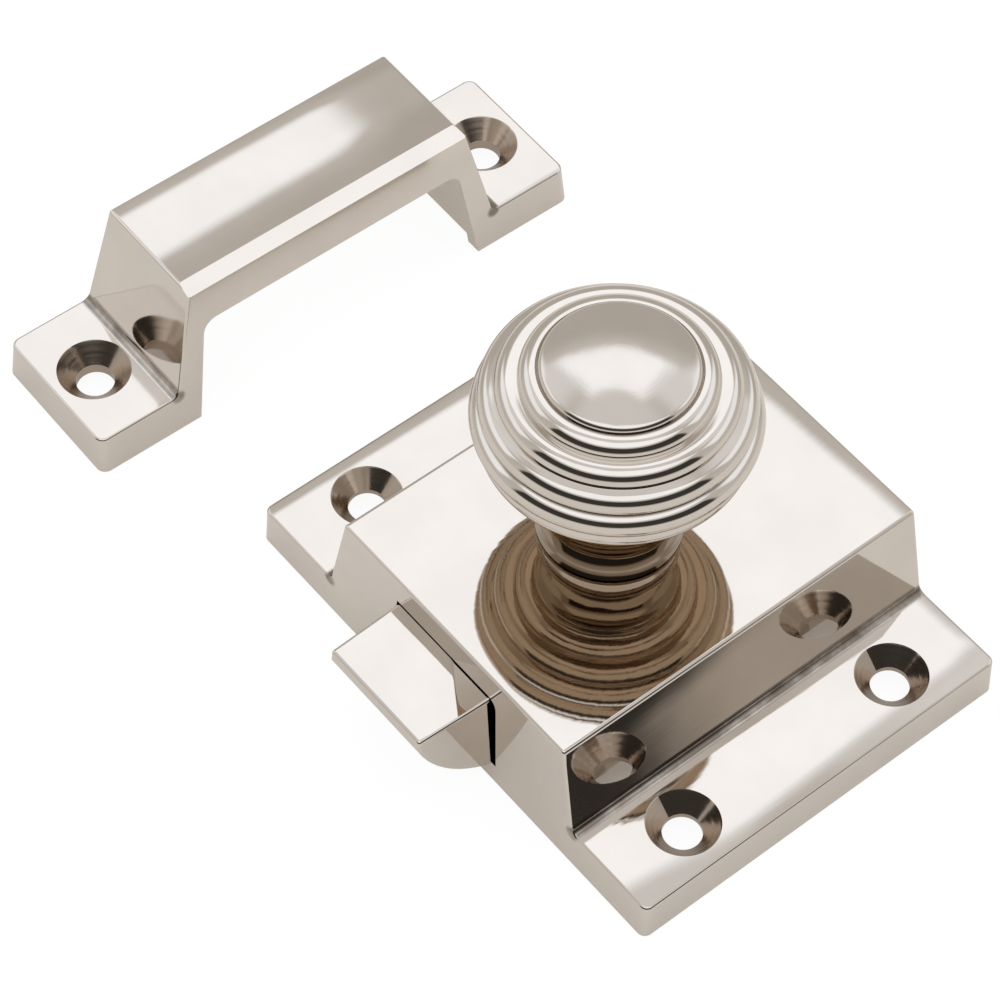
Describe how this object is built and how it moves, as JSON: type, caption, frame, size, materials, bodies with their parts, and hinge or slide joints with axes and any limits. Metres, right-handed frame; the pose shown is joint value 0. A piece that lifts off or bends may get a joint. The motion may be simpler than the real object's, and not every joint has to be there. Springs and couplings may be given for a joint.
{
  "type": "cupboard catch latch",
  "caption": "Surface-mounted cupboard catch with a reeded turning knob, a sprung bolt with a curved nose and a separate bridge keep.",
  "frame": {"origin": "centre of the latch case's flat back, on the surface it is screwed to", "axes": "+X along the case's long side from flange to flange, -Y the way the bolt shoots, +Z out of the door along the knob's axis; the keep lies square to the case on its -X side"},
  "size_m": [0.1053, 0.0696, 0.0471],
  "materials": {
    "nickel_cast": "cast brass, polished and nickel plated",
    "nickel_turned": "turned brass, polished and nickel plated",
    "nickel_bolt": "cast brass, filed, polished and nickel plated",
    "cover_sheet": "rolled brass sheet, satin nickel plate",
    "washer_brass": "bare sheet brass",
    "steel_machined": "turned and milled, lightly oiled",
    "steel_screw": "turned screw steel",
    "spring_wire": "drawn spring wire"
  },
  "bodies": {
    "case": {"case": "nickel_cast", "back_cover": "cover_sheet", "cover_screws": "steel_screw", "bolt_spring": "spring_wire", "keep": "nickel_cast"},
    "knob": {"knob": "nickel_turned", "spindle": "steel_machined", "thrust_washer": "washer_brass", "crank": "steel_machined", "crank_pin": "steel_machined", "crank_screw": "steel_screw"},
    "bolt": {"bolt": "nickel_bolt"}
  },
  "joints": [
    {"name": "knob_turn", "type": "hinge", "parent": "case", "child": "knob", "pos_m": [-0.0013, -0.0019, 0], "axis": [0, 0, 1], "range_deg": [0, 60]},
    {"name": "bolt_slide", "type": "slide", "parent": "case", "child": "bolt", "axis": [0, 1, 0], "range_m": [0, 0.009], "stiffness_N_per_m": 330, "springref_m": -0.008, "deforming": ["bolt_spring"]}
  ],
  "couplings": [
    {"joint": "knob_turn", "follows": "bolt_slide", "rad_per_m": 116.36}
  ]
}
